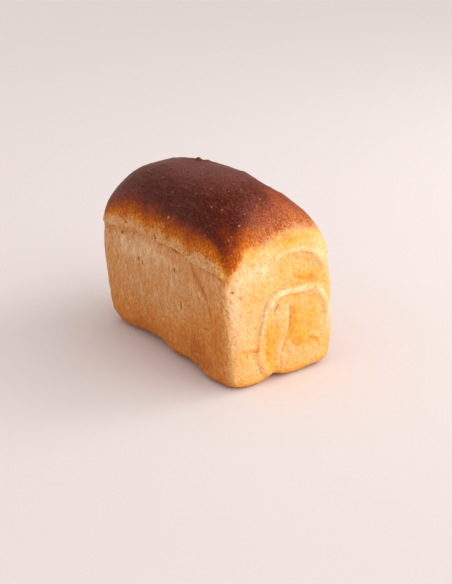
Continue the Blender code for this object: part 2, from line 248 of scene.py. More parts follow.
# Where the crown turns half brown, round the loaf, and twice the height over which it darkens above
# that: (x, y, z, height) in millimetres
BROWN_EDGE = (
    (-119, -10, 132, 44), (-118, -50, 115, 50), (-90, -57, 124, 54), (-50, -57, 131, 48),
    (-10, -57, 128, 42), (25, -57, 129, 34), (60, -57, 127.5, 34), (82, -57, 127.5, 30),
    (92, -57, 127.5, 24), (100, -55, 125.5, 26), (105, -52, 118.5, 54), (109, -51, 113, 84),
    (111, -50.5, 110.5, 100), (112, -46, 117.5, 76), (114, -41, 123, 42), (115, -36, 130, 36),
    (115, -28, 134.5, 40), (115, -15, 137.5, 48), (115, 0, 138.8, 56), (115, 14, 141.6, 66),
    (115, 28, 142.5, 84), (112, 46, 137, 90), (95, 57, 131, 60), (50, 57, 131, 40), (0, 57, 132, 40),
    (-60, 57, 129, 44), (-105, 54, 119, 46), (-118, 30, 130, 44),
)
CROWN_EDGE = (131, 44)  # the same z and height in the middle of the crown
CROWN_MIDDLE = (0.15, 0.75)  # the middle of the crown ends between these shares of its half size
PALE_HEIGHT = 43  # twice the height over which the crust goes on paling below the half brown edge
RUSSET_TOP = (150, 168)  # between these heights the dark crown turns redder
RUSSET_AND_SHEEN_LEFT = (-25, -70)  # and between these places along it, towards the left, where the redder top is partly a painted sheen
SHEEN_END = ((68, 108), (-34, -8))  # and between these places along and across it, it grows duller under a painted sheen

# Bumps on the crown, or dips where the height is negative: x, y, spread along x, spread along y and
# height, in millimetres
CROWN_BUMPS = (
    (-30, 12, 3, 2.6, 2.6),
    (-23, 17, 5, 3, 1.2),
    (-36, 8, 4, 3, 0.8),
    (26, 25, 4, 4, 0.9),
    (40, 31, 11, 8, -3.4),
    (60, 30, 9, 7, -1.2),
    (90, 44, 9, 8, 0.8),
    (-57, 12, 15, 11, -1.2),
    (-70, -10, 14, 10, -1.0),
    (70, 33, 6, 4, 0.6),
    (10, -24, 7, 5, 0.5),
)
# Pits in the walls up to PIT_TOP and blisters on the crown: how many, and the least and most of their
# spread and their depth or height, in millimetres
PITS = 220
PIT_SPREAD = (0.8, 1.5)
PIT_DEPTH = (0.25, 0.6)
PIT_TOP = 116
BLISTERS = 90
BLISTER_SPREAD = (0.9, 2.0)
BLISTER_HEIGHT = (0.15, 0.45)

# Short cracks where the dough tore above the rim, but none on the end with the tucked roll: how many, on
# which faces and which share of them, and the least and most of each measure in millimetres
STRAY_CRACKS = 30
CRACKED_FACES = ["-y", "+y", "+y", "-x"]
CRACKED_SHARE = 0.85
CRACK_TOP = (98, 116)
CRACK_RUN = (-4, 4)
CRACK_DROP = (3, 8)
CRACK_BEND = (-1.5, 1.5)
CRACK_DEPTH = (0.7, 1.2)
CRACK_WIDTH = (0.8, 1.1)
SEED = 7

# Pale flecks on the crown: place, spread and strength, in millimetres
FLECKS = (
    (16, -50, 133, 0.64, 0.41), (17, -50, 135, 0.48, 0.35), (9, -39, 153, 0.56, 0.17),
    (41, -34, 157, 0.64, 0.29), (47, -32, 158, 0.56, 0.23), (66, -35, 151, 0.56, 0.35),
    (78, -31, 150, 0.72, 0.35), (98, -28, 140, 0.64, 0.42), (92, -19, 147, 0.56, 0.23),
    (90, 12, 149, 0.56, 0.23), (49, -24, 161, 0.64, 0.29), (-19, -32, 159, 0.56, 0.17),
    (89, -4, 150, 0.56, 0.23), (28, -44, 145, 0.56, 0.23), (101, -42, 131, 0.4, 0.17),
    (100, -39, 134, 0.4, 0.14), (110, -46, 117, 0.48, 0.23), (109, -44, 121, 0.4, 0.17),
    (112, -40, 113, 0.72, 0.29), (4, -53, 126, 1.3, 0.29), (9, -53, 127, 1.1, 0.29),
    (13, -53, 125, 0.96, 0.29), (-50, 20, 158, 0.56, 0.23), (30, 30, 155, 0.64, 0.23),
    (62, 42, 138, 0.64, 0.29), (-70, 35, 143, 0.56, 0.23), (-95, -10, 150, 0.64, 0.29),
    (-104, 12, 142, 0.56, 0.29), (5, 46, 142, 0.56, 0.23), (-30, 48, 140, 0.64, 0.23),
)

# Where the foot of the near side bulges, or draws in where the last number is negative: middle and spread
# along it and amount, in millimetres
FOOT_SWELLS = ((10, 17, 2.6), (70, 18, 2.8), (-50, 28, -1.9), (-100, 12, -1.8))

# Bands along the rim: middle and spread of each over the shoulder, in millimetres
LEDGE = (-2, 2.2)
# the band of painted shade along the ledge, under the crown's overhang
UNDER_RIM = (-2.5, 2)
TORN_RELIEF = (4, 7)
TORN_COLOUR = (5, 7)
TORN_ON_ENDS = 0.5  # how strong the torn band is on the ends, as a share of that on the sides
# how dark the painted shade under the crown's overhang is
UNDER_RIM_SHADE = 0.38

# Where a thing fades in or out: start and end, of how squarely a point faces a way for the first four, of
# a height in millimetres for the next three, of how far the crust has browned for the next three, and of
# the way along a path for the last
FACING = (0.3, 0.8)
UPWARDS = (0.2, 0.6)
FOOT_EDGE = (0.0, 0.35)
UNDERSIDE = (0.1, 0.9)
RELIEF_FOOT = (0.4, 5.0)
WALL_TOP = (0, 14)
TOASTED_AND_SHADED_FOOT = (0, 62)
WRINKLED = (0.25, 0.7)
BLISTERED = (0.5, 0.8)
UNCREASED = (0.3, 0.6)
PATH_ENDS = (-0.5, 3.5)
CROWN_FLOOR = 60  # the crown's bumps are above this height, in millimetres

FOOT_TOAST_AND_SHADE = (0.8, 0.3, 0.3)  # how far the foot is darkened, by toast and by painted shade near the floor: on the sides, on the ends and underneath

# Relief that clouds press in: painted group, depth, share of it, kind of cloud, its size each way in
# millimetres, its detail and its lean
RELIEFS = (
    ("ledge", "ledge_depth", 1.0, "rim strands", (5, 5, 5), 2, 0.0),
    ("torn", "torn_depth", 1.0, "torn strands", (2.6, 2.6, 6), 2, SLANT),
    ("sides", "fibre_depth", 1.0, "fibres", (1.7, 1.7, 9), 2, 0.0),
    ("sides", "dimple_depth", 0.6, "dimples", (6, 6, 9), 2, 0.0),
    ("ends", "dimple_depth", 1.0, "lumps", (4.4, 4.4, 5), 2, 0.0),
    ("ends", "dimple_depth", 1.0, "crinkles", (2.0, 2.0, 2.4), 2, 0.0),
    ("crown", "crown_depth", 1.0, "wrinkles", (5, 2.0, 2.6), 3, 0.0),
    ("crown", "crown_depth", 1.6, "swells", (19, 13, 13), 1, 0.0),
)

REACH = 3  # a path or a spot has faded out past this many half widths or spreads
SEARCH = 6  # how far from a given place the skin is looked for, in millimetres
WAVER = 0.25  # how much a path's strength comes and goes
WAVER_LENGTH = 3.1  # over what length it does so, in millimetres
PATH_STEPS = 6  # points of a smooth curve between two corners of a path
FAINT = 0.004  # a weight below this isn't painted
MERGE_GAP = 0.02  # points this near each other are merged, in millimetres
FLOOR_SIZE = 60  # side of the floor, in metres


def from_bytes(red, green, blue):
    """A screen colour, 0 to 255, as the linear colour that materials and lights use."""
    linear = []
    for byte in (red, green, blue):
        share = byte / 255
        linear.append(share / 12.92 if share <= 0.04045 else ((share + 0.055) / 1.055) ** 2.4)
    return (*linear, 1.0)


def colour(name, description, *shade):
    return FloatVectorProperty(
        name=name, description=description, default=from_bytes(*shade), size=4, min=0.0, max=1.0,
        subtype="COLOR")


def length(name, description, millimetres, least=0.0):
    return FloatProperty(
        name=name, description=description, default=millimetres * MM, min=least * MM, unit="LENGTH")


def angle(name, description, degrees):
    return FloatProperty(
        name=name, description=description, default=math.radians(degrees), subtype="ANGLE")


def level(name, description, default):
    return FloatProperty(name=name, description=description, default=default, min=0.0)


class LoafCrustSettings(bpy.types.PropertyGroup):
    """Sizes and colours of the crust."""

    cell: length("Skin Cell", "Size of the even cells that the skin is made of", 1.0, 0.6)
    triangles: IntProperty(
        name="Triangles", description="How many triangles the finished skin may have",
        default=190000, min=20000)
    evening: IntProperty(
        name="Evening", description="How many times the skin is smoothed before the folds go in",
        default=9, min=0)
    crease_depth: length("Crease Depth", "Depth of a crease that is painted at full strength", 1.4)
    lip_height: length("Lip Height", "Height of a fold's lip that is painted at full strength", 1.0)
    fibre_depth: length("Fibre Depth", "Relief of the fibres on the walls", 0.6)
    torn_depth: length("Torn Depth", "Relief of the torn band above the rim", 2.0)
    ledge_depth: length("Ledge Depth", "Depth of the line where the tin's rim pressed the walls", 1.1)
    dimple_depth: length("Dimple Depth", "Relief of the lumps and dimples on the walls", 1.1)
    crown_depth: length("Crown Depth", "Relief of the fine wrinkles on the crown", 0.55)
    # The ends' crust colours are a lit copy, and the sides' a shaded copy, of the same crust: painted light
    # and painted shade.
    pale: colour("Pale Crust", "Ends that the tin kept pale", 239, 190, 131)
    tan: colour("Tan Crust", "Sides that the tin kept pale", 220, 171, 121)
    golden: colour("Golden Crust", "Sides that took some colour", 213, 153, 94)
    toasted: colour("Toasted Crust", "Hollows and patches of the walls", 213, 136, 62)
    # toast, and painted shade near the floor, at the foot of the walls
    browned: colour("Browned Crust", "The foot of the walls", 190, 112, 48)
    lit_straw: colour("Straw Crust", "The ends where they took some colour", 235, 180, 108)
    lit_honey: colour("Honey Crust", "Hollows and patches of the ends", 232, 165, 60)
    amber: colour("Amber Crust", "Creases, and where the crown starts to brown", 198, 108, 18)
    copper: colour("Copper Crust", "The middle of that band", 164, 76, 12)
    chestnut: colour("Chestnut Crust", "The crown's edge", 126, 52, 18)
    mahogany: colour("Mahogany Crust", "The darkest part of the crown", 82, 28, 14)
    # the redder top of the crown, and towards the left partly a painted sheen
    russet: colour("Russet Crust", "The top of the crown", 104, 47, 33)
    # painted sheen: this dull, greyish brown stands in for the gloss on the crown's lit end
    dusty: colour("Crown Sheen", "Over the brown of the crown's sunlit end", 148, 90, 79)
    crumb: colour("Crumb", "Lips, flecks and torn strands", 246, 213, 165)


class LoafStudioSettings(bpy.types.PropertyGroup):
    """Viewpoint, floor and light."""

    azimuth: angle("Azimuth", "Turn of the camera round the loaf", 59.357)
    elevation: angle("Elevation", "Height of the camera above the horizon", 19.938)
    roll: angle("Roll", "Tilt of the camera about its own line of sight", -3.813)
    distance: length("Distance", "From the camera to what it looks at", 1024.73, 100)
    aim: FloatVectorProperty(
        name="Aim", description="What the camera looks at",
        default=(-0.0003, 0.0001, 0.060), size=3, subtype="TRANSLATION", unit="LENGTH")
    lens: FloatProperty(name="Lens", description="Focal length in millimetres", default=68.41, min=1.0)
    shift: FloatVectorProperty(
        name="Shift", description="Shift of the frame, as a share of its long side",
        default=(0.0244, -0.0222), size=2)
    floor: colour("Floor", "The floor's colour", 227, 220, 220)
    sky: colour("Sky", "The soft light from all round", 255, 247, 243)
    sky_strength: level("Sky Strength", "Strength of the soft light", 0.73)
    lamp: colour("Lamp", "The colour of the window and the near lamp", 255, 254, 250)
    lamp_distance: length("Lamp Distance", "From the loaf to either lamp", 1750, 100)
    window_turn: angle("Window Turn", "Turn of the light from afar, from the loaf's front end", 20)
    window_rise: angle("Window Rise", "Height of the light from afar above the horizon", 20)
    window_strength: level("Window Strength", "Strength of the light from afar", 2.15)
    window_spread: angle("Window Spread", "How wide the light from afar looks", 62)
    near_turn: angle("Near Turn", "Turn of the near lamp, from the loaf's front end", 68)
    near_rise: angle("Near Rise", "Height of the near lamp above the horizon", 32)
    near_power: FloatProperty(
        name="Near Power", description="Power of the near lamp", default=11.6, min=0.0, unit="POWER")
    near_size: length("Near Size", "Side of the near lamp", 900, 10)


# Small geometry on the loaf's skin, in millimetres


def fade(value, start, end):
    """A smooth step from 0 at start to 1 at end."""
    share = np.clip((value - start) / (end - start), 0.0, 1.0)
    return share * share * (3 - 2 * share)


def hump(value, middle, spread):
    """A rounded rise to 1 at the middle."""
    return np.exp(-(((value - middle) / spread) ** 2))


class Skin:
    """The places and directions of a piece's points, in millimetres."""

    def __init__(self, piece):
        mesh = piece.data
        count = len(mesh.vertices)
        places = np.empty(count * 3, np.float32)
        mesh.vertices.foreach_get("co", places)
        self.places = places.reshape(-1, 3).astype(float) / MM
        normals = np.empty(count * 3, np.float32)
        mesh.vertices.foreach_get("normal", normals)
        self.normals = normals.reshape(-1, 3).astype(float)
        self.x, self.y, self.z = self.places.T

    def facing(self, face):
        """How squarely each point faces the way that a face of the loaf looks."""
        sign = 1.0 if face[0] == "+" else -1.0
        return fade(sign * self.normals[:, "xyz".index(face[1])], *FACING)

    def on_face(self, face):
        """Each point's place on a face: across and up."""
        across = self.y if face[1] == "x" else self.x
        return np.column_stack([across, self.z])

    def sides(self):
        return np.maximum(self.facing("-y"), self.facing("+y"))

    def ends(self):
        return np.maximum(self.facing("-x"), self.facing("+x"))

    def above_foot(self):
        return fade(self.z, *RELIEF_FOOT)

    def over_rim(self):
        """Height of each point over the shoulder on its side of the loaf."""
        near = np.interp(self.x, *np.array(NEAR_SHOULDER, float).T)
        far = np.interp(self.x, *np.array(FAR_SHOULDER, float).T)
        long_sides = np.where(self.y < 0, near, far)
        return self.z - (long_sides + (END_SHOULDER - long_sides) * self.ends())

    def torn(self, middle, spread):
        """How strongly each point belongs to the torn band above the shoulder."""
        return hump(self.over_rim(), middle, spread) * np.maximum(self.sides(), TORN_ON_ENDS * self.ends())

    def brown_edge(self):
        """Height at which the crown is half brown, and twice the height over which it darkens above that."""
        x, y, height, depth = np.array(BROWN_EDGE, float).T
        turn = np.degrees(np.arctan2(y / HALF_WIDTH, x / HALF_LENGTH))
        here = np.degrees(np.arctan2(self.y / HALF_WIDTH, self.x / HALF_LENGTH))
        order = np.argsort(turn)
        outward = fade(np.hypot(self.x / HALF_LENGTH, self.y / HALF_WIDTH), *CROWN_MIDDLE)
        found = []
        for middle, values in zip(CROWN_EDGE, (height, depth)):
            around = np.interp(here, turn[order], values[order], period=360)
            found.append(middle + (around - middle) * outward)
        return found

    def bake(self):
        """How far each place has browned, from 0 on the walls to 1 on the crown."""
        height, above = self.brown_edge()
        over = self.z - height
        return np.clip(over / np.where(over < 0, PALE_HEIGHT, above) + 0.5, 0.0, 1.0)


def smooth_path(corners):
    """Points of a smooth curve through the corners of a path."""
    corners = np.array(corners, float)
    padded = np.vstack([2 * corners[0] - corners[1], corners, 2 * corners[-1] - corners[-2]])
    found = []
    for before, start, end, after in zip(padded, padded[1:], padded[2:], padded[3:]):
        for step in range(PATH_STEPS):
            t = step / PATH_STEPS
            pull = 2 * start + (end - before) * t
            pull = pull + (2 * before - 5 * start + 4 * end - after) * t * t
            pull = pull + (3 * start - before - 3 * end + after) * t**3
            found.append(pull / 2)
    found.append(corners[-1])
    return np.array(found)


def along_path(skin, power, face, amount, width, corners):
    """How strongly each point belongs to a path: amount on its line, none past its width and its ends.

    A higher power gives a flatter top and crisper edges.
    """
    path = smooth_path(corners)
    flat = skin.on_face(face)
    reach = REACH * width
    near = ((flat > path.min(axis=0) - reach) & (flat < path.max(axis=0) + reach)).all(axis=1)
    near = np.flatnonzero(near & (skin.facing(face) > 0))
    flat = flat[near]
    distance, run = np.full(len(near), np.inf), np.zeros(len(near))
    lengths = np.linalg.norm(np.diff(path, axis=0), axis=1)
    starts = np.concatenate([[0.0], np.cumsum(lengths)])
    for index, (start, end) in enumerate(zip(path, path[1:])):
        way = end - start
        share = np.clip((flat - start) @ way / (way @ way), 0.0, 1.0)
        apart = np.linalg.norm(flat - start - share[:, None] * way, axis=1)
        nearer = apart < distance
        distance = np.where(nearer, apart, distance)
        run = np.where(nearer, starts[index] + share * lengths[index], run)
    tapered = fade(np.minimum(run, starts[-1] - run), *PATH_ENDS)
    wavering = 1 - WAVER + WAVER * np.sin(run / WAVER_LENGTH + starts[-1])
    weights = np.zeros(len(skin.x))
    weights[near] = amount * np.exp(-((distance / width) ** power)) * tapered * wavering
    weights[near] *= skin.facing(face)[near]
    return weights


def all_paths(skin, paths, power=2):
    """The strongest at each point of the paths on each face."""
    total = np.zeros(len(skin.x))
    for face, rows in paths.items():
        for row in rows:
            total = np.maximum(total, along_path(skin, power, face, *row))
    return total


def dots(skin, middles, spreads, amounts):
    """Round spots on the skin at the points nearest to the given places."""
    total = np.zeros(len(skin.x))
    for middle, spread, amount in zip(middles, spreads, amounts):
        near = np.flatnonzero((np.abs(skin.places - middle) < SEARCH + REACH * spread).all(axis=1))
        centre = skin.places[near[np.linalg.norm(skin.places[near] - middle, axis=1).argmin()]]
        distance = np.linalg.norm(skin.places[near] - centre, axis=1)
        total[near] = np.maximum(total[near], amount * hump(distance, 0, spread))
    return total


def spots(skin, mask, count, spreads, amounts, seed):
    """Small round spots scattered over the part of the skin that mask gives."""
    random = np.random.default_rng(seed)
    chosen = random.choice(len(mask), size=count, p=mask / mask.sum())
    return dots(skin, skin.places[chosen], random.uniform(*spreads, count), random.uniform(*amounts, count))


def cracked_creases():
    """CREASES, and the short cracks that are scattered over the torn band."""
    random = np.random.default_rng(SEED)
    found = dict(CREASES)
    for _ in range(STRAY_CRACKS):
        face = random.choice(CRACKED_FACES)
        half = CRACKED_SHARE * (HALF_WIDTH if face[1] == "x" else HALF_LENGTH)
        across, up = random.uniform(-half, half), random.uniform(*CRACK_TOP)
        run, drop = random.uniform(*CRACK_RUN), random.uniform(*CRACK_DROP)
        bend = random.uniform(*CRACK_BEND)
        path = ((across, up), (across + run / 2 + bend, up - drop / 2), (across + run, up - drop))
        found[face] += ((random.uniform(*CRACK_DEPTH), random.uniform(*CRACK_WIDTH), path),)
    return found


# Modelling steps, each as it would be done by hand


def deselect_all():
    if bpy.context.object and bpy.context.object.mode != "OBJECT":
        bpy.ops.object.mode_set(mode="OBJECT")
    bpy.ops.object.select_all(action="DESELECT")


def pick(piece):
    deselect_all()
    piece.select_set(True)
    bpy.context.view_layer.objects.active = piece


def copy_of_node(node, name):
    """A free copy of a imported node, with its loose triangles merged."""
    pick(frame["nodes"][node])
    bpy.ops.object.duplicate()
    piece = bpy.context.object
    if piece is frame["nodes"][node]:
        raise RuntimeError(f"the packed node {node} could not be copied")
    bpy.ops.object.parent_clear(type="CLEAR_KEEP_TRANSFORM")
    piece.name = piece.data.name = name
    for key in list(piece.keys()):
        del piece[key]
    bpy.ops.object.mode_set(mode="EDIT")
    bpy.ops.mesh.select_all(action="SELECT")
    bpy.ops.mesh.remove_doubles(threshold=MERGE_GAP * MM)
    bpy.ops.mesh.normals_make_consistent(inside=False)
    bpy.ops.object.mode_set(mode="OBJECT")
    bpy.ops.mesh.customdata_custom_splitnormals_clear()
    return piece


def apply_modifier(piece, kind, **settings):
    """Adds a modifier to a piece and applies it."""
    modifier = piece.modifiers.new(kind.lower(), kind)
    for name, value in settings.items():
        setattr(modifier, name, value)
    pick(piece)
    bpy.ops.object.modifier_apply(modifier=modifier.name)


def even_skin(piece, cell, times):
    """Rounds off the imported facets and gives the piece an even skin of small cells."""
    apply_modifier(piece, "SUBSURF", levels=1, render_levels=1)
    apply_modifier(piece, "REMESH", mode="VOXEL", voxel_size=cell, use_smooth_shade=True)
    apply_modifier(piece, "SMOOTH", factor=0.5, iterations=times)


def paint(piece, name, weights):
    """Paints a vertex group with a weight for each point."""
    group = piece.vertex_groups.new(name=name)
    for index in np.flatnonzero(weights > FAINT):
        group.add([int(index)], float(min(weights[index], 1.0)), "REPLACE")


def press(piece, group, strength, texture=None, stretch=None, slant=0.0):
    """Pushes the skin in or out where a vertex group is painted, evenly or by a texture."""
    guide = None
    settings = {"vertex_group": group, "strength": strength, "mid_level": 0.5 if texture else 0.0}
    if texture:
        bpy.ops.object.empty_add(type="PLAIN_AXES")
        guide = bpy.context.object
        guide.scale = [size * MM for size in stretch]
        guide.rotation_euler.y = slant
        bpy.context.view_layer.update()
        settings.update(texture=texture, texture_coords="OBJECT", texture_coords_object=guide)
    apply_modifier(piece, "DISPLACE", **settings)
    if guide:
        bpy.data.objects.remove(guide)


def press_both_ways(piece, name, heights):
    """Lifts the skin where the heights, in millimetres, are above 0 and sinks it where they are below."""
    most = np.abs(heights).max()
    for group, sign in ((f"{name} up", 1), (f"{name} down", -1)):
        paint(piece, group, sign * heights / most)
        press(piece, group, sign * most * MM)


def cloud_texture(name, detail):
    texture = bpy.data.textures.new(name, "CLOUDS")
    texture.noise_scale = 1.0
    texture.noise_depth = detail
    return texture


def press_folds(piece, settings):
    """Presses the creases in and lifts the lips beside them."""
    skin = Skin(piece)
    foot = skin.above_foot()
    creases = all_paths(skin, cracked_creases())
    lips = all_paths(skin, LIPS, LIP_POWER)
    pitted = (skin.sides() + skin.ends()) * (skin.z < PIT_TOP) * foot
    pits = spots(skin, pitted, PITS, PIT_SPREAD, PIT_DEPTH, SEED)
    paint(piece, "creases", np.maximum(creases, pits) * foot * MM / settings.crease_depth)
    paint(piece, "lips", lips * foot * MM / settings.lip_height)
    press(piece, "creases", -settings.crease_depth)
    press(piece, "lips", settings.lip_height)


def press_dough(piece, settings):
    """Gives the walls fibres and lumps, the rim its ledge and torn band and the crown its wrinkles."""
    skin = Skin(piece)
    faces = np.maximum(skin.sides(), skin.ends())
    walls = (1 - fade(skin.over_rim(), *WALL_TOP)) * faces * skin.above_foot()
    paint(piece, "sides", walls * skin.sides())
    paint(piece, "ends", walls * skin.ends())
    paint(piece, "ledge", hump(skin.over_rim(), *LEDGE) * skin.sides())
    paint(piece, "torn", skin.torn(*TORN_RELIEF))
    paint(piece, "crown", fade(skin.bake(), *WRINKLED))
    press(piece, "ledge", -settings.ledge_depth)
    for group, depth, share, cloud, size, detail, slant in RELIEFS:
        press(piece, group, share * getattr(settings, depth), cloud_texture(cloud, detail), size, slant)


def press_crown_bumps(piece):
    """Shapes the few bumps and dips and the many small blisters of the crown."""
    skin = Skin(piece)
    top = fade(skin.normals[:, 2], *UPWARDS) * (skin.z > CROWN_FLOOR)
    heights = np.zeros(len(skin.x))
    for x, y, along, across, height in CROWN_BUMPS:
        heights += height * top * hump(skin.x, x, along) * hump(skin.y, y, across)
    blistered = fade(skin.bake(), *BLISTERED)
    blisters = spots(skin, blistered, BLISTERS, BLISTER_SPREAD, BLISTER_HEIGHT, SEED + 1)
    press_both_ways(piece, "crown", heights)
    paint(piece, "blisters", blisters)
    press(piece, "blisters", MM)


def press_foot(piece):
    """Lets the foot of the near side bulge and draw in as it does along the tin."""
    skin = Skin(piece)
    edge = fade(-skin.normals[:, 2], *FOOT_EDGE) * fade(-skin.normals[:, 1], *FOOT_EDGE)
    heights = np.zeros(len(skin.x))
    for middle, spread, amount in FOOT_SWELLS:
        heights += amount * edge * hump(skin.x, middle, spread)
    press_both_ways(piece, "foot", heights)


def thin_out(piece, triangles):
    """Leaves the skin the given number of triangles, most of them where it bends most."""
    bpy.context.view_layer.update()
    now = sum(len(face.vertices) - 2 for face in piece.data.polygons)
    apply_modifier(piece, "DECIMATE", ratio=min(1.0, triangles / now))


def level_foot(piece):
    """Sets what sank below the ground back on it."""
    for vert in piece.data.vertices:
        if vert.co.z < 0:
            vert.co.z = 0


def store(piece, name, values):
    """Keeps one number for each point, for the material to read."""
    attribute = piece.data.attributes.new(name, "FLOAT", "POINT")
    attribute.data.foreach_set("value", values.astype(np.float32))


def store_baking(piece):
    """Works out each place's colour: bake on the crown, toast on the walls, folds, painted shade and sheen.
    """
    skin = Skin(piece)
    on_sides, on_ends, underneath = FOOT_TOAST_AND_SHADE
    # the foot: toast, and painted shade near the floor
    foot = on_sides * skin.sides() + on_ends * skin.ends()
    toast = foot * (1 - fade(skin.z, *TOASTED_AND_SHADED_FOOT)) + underneath * fade(-skin.normals[:, 2], *UNDERSIDE)
    for face, patches in TOASTED.items():
        across, up = skin.on_face(face).T
        for middle, spread, amount in patches:
            patch = hump(across, middle[0], spread[0]) * hump(up, middle[1], spread[1])
            toast = toast + amount * patch * skin.facing(face)
    store(piece, "bake", skin.bake())
    # the redder top: the crown's own colour, and towards the left partly a painted sheen
    store(piece, "top", np.maximum(fade(skin.z, *RUSSET_TOP), fade(skin.x, *RUSSET_AND_SHEEN_LEFT)))
    places, spreads, amounts = np.split(np.array(FLECKS, float), (3, 4), axis=1)
    store(piece, "fleck", dots(skin, places, spreads.ravel(), amounts.ravel()))
    store(piece, "end", skin.ends())
    store(piece, "toast", np.clip(toast, -1.0, 1.0))
    store(piece, "stroke", all_paths(skin, TOAST_AND_SHADE_STROKES))
    # where the painted sheen lies over the crown's lit end
    along, across = SHEEN_END
    store(piece, "dusty", fade(skin.x, *along) * fade(skin.y, *across))
    creases = all_paths(skin, cracked_creases())
    # painted shade under the crown's overhang, stored with the creases
    under_rim_shade = UNDER_RIM_SHADE * hump(skin.over_rim(), *UNDER_RIM) * skin.sides()
    pale_yet = 1 - fade(skin.bake(), *UNCREASED)
    # the crease colour: painted shade in the folds, cracks and under the rim, along with a fold's own colour
    store(piece, "crease", np.clip(np.maximum(creases, under_rim_shade) * pale_yet, 0.0, 1.0))
    store(piece, "lip", all_paths(skin, LIPS, LIP_POWER))
    store(piece, "torn", skin.torn(*TORN_COLOUR))


# The material

# Noise patterns: size of a grain each way in millimetres, detail, roughness and distortion
PATTERNS = {
    "patches": ((12, 12, 18), 3.0, 0.6, 0.0),
    "flecks": ((3.6, 3.6, 4.2), 4.0, 0.65, 0.8),
    "broad": ((4.0, 4.0, 16), 3.0, 0.6, 0.0),
    "dashes": ((1.3, 1.3, 3.2), 2.0, 0.5, 0.8),
    "reddening": ((28, 1.8, 2.2), 3.0, 0.6, 0.4),
    "blotches": ((7, 7, 7), 3.0, 0.65, 0.0),
    "fibres": ((1.5, 1.5, 6), 3.0, 0.65, 1.1),
    "strands": ((1.3, 1.3, 6), 3.0, 0.6, 0.5),
    "grain": ((1.7, 1.7, 2.1), 3.0, 0.7, 0.0),
    "drawn out": ((2.8, 1.0, 1.3), 3.0, 0.7, 0.0),
    "drift": ((13, 13, 13), 4.0, 0.6, 0.0),
}

# What is made of a pattern or a painted number: the range that is read, and the range that it becomes,
# which is 0 to 1 where none is given
SPANS = {
    "patches": (0.3, 0.7, 0.0, 0.3),
    "speckles": (0.3, 0.7, -0.18, 0.22),
    "fine streaks": (0.3, 0.7, -0.12, 0.12),
    "broad streaks": (0.3, 0.7, -0.2, 0.2),
    "toast": (-0.8, 1.2),
    "broken strokes": (0.32, 0.62, 0.4, 0.9),
    "dark strokes": (0.7, 1.4, 0.0, 0.6),
    "worn lips": (0.35, 0.65, 0.95, 0.6),
    "torn strands": (0.5, 0.62, 0.0, 0.5),
    "dashes": (0.58, 0.7, 0.0, 0.5),
    "reddening": (0.4, 0.68, -0.4, 0.65),
    "blotches": (0.52, 0.78, 0.0, 0.5),
    "dark crown": (0.6, 0.86),
    "speck size": (0.62, 1.0, 0.0, 0.24),
    "speck strength": (0.5, 0.8, 0.0, 0.28),
    "drawn out": (0.3, 0.6),
    "bake drift": (0.25, 0.75, -0.08, 0.08),
    "bake strands": (0.3, 0.7, -0.035, 0.035),
    "bake grain": (0.3, 0.7, -0.06, 0.06),
    "crown": (0.04, 0.34),
    "folds": (0.1, FOLD_LIMIT, 0.0, 0.5),
    "cracks": (FOLD_LIMIT - 0.05, 0.9, 0.0, 0.9),
    "grain depth": (0.05, 0.4, 0.85, 5.2),
    "fibres on walls": (0.2, 0.5, 1.6, 0.3),
    "fibres on ends": (0.0, 1.0, 1.0, 0.15),
    "shade": (-0.5, 0.5),
    "roughness": (0.15, 0.8, 0.68, 0.4),
    "rough grain": (0.2, 0.8, -0.06, 0.08),
}

# Colours along the toast of the sides and of the ends, and along the bake of the crown. The sides' colours
# are a shaded copy and the ends' a lit copy of the same crust: painted shade and painted light.
SHADED_SIDE_STOPS = ((0.05, "crumb"), (0.30, "tan"), (0.50, "golden"), (0.76, "toasted"), (1.00, "browned"))
LIT_END_STOPS = ((0.05, "crumb"), (0.30, "pale"), (0.50, "lit_straw"), (0.76, "lit_honey"), (1.00, "toasted"))
CROWN_STOPS = ((0.05, "pale"), (0.20, "golden"), (0.35, "amber"), (0.50, "copper"), (0.66, "chestnut"))

DARKEST = (0.6, 0.32, 0.0, 1.0)  # what the deepest grain multiplies the colour by: painted shade in fine pits, with the grain's own tone
LIGHTEST = (1.4, 1.68, 2.1, 1.0)  # and the highest, as painted light on fine ridges, so that it turns paler and not greyer
SPECK_SPACING = 2.6  # millimetres between the specks of the crown
SHEEN_SHARE = 0.4  # how much of the painted sheen shows where it is strongest
STROKE_LIMIT = 0.9  # and how much of the amber of a stroke of toast and painted shade
GLOSS = 0.08
BUMP_FIBRES = 0.6
BUMP_GRAIN = 0.4
BUMP_DEPTH = 0.8  # millimetres
BUMP_STRENGTH = 0.8


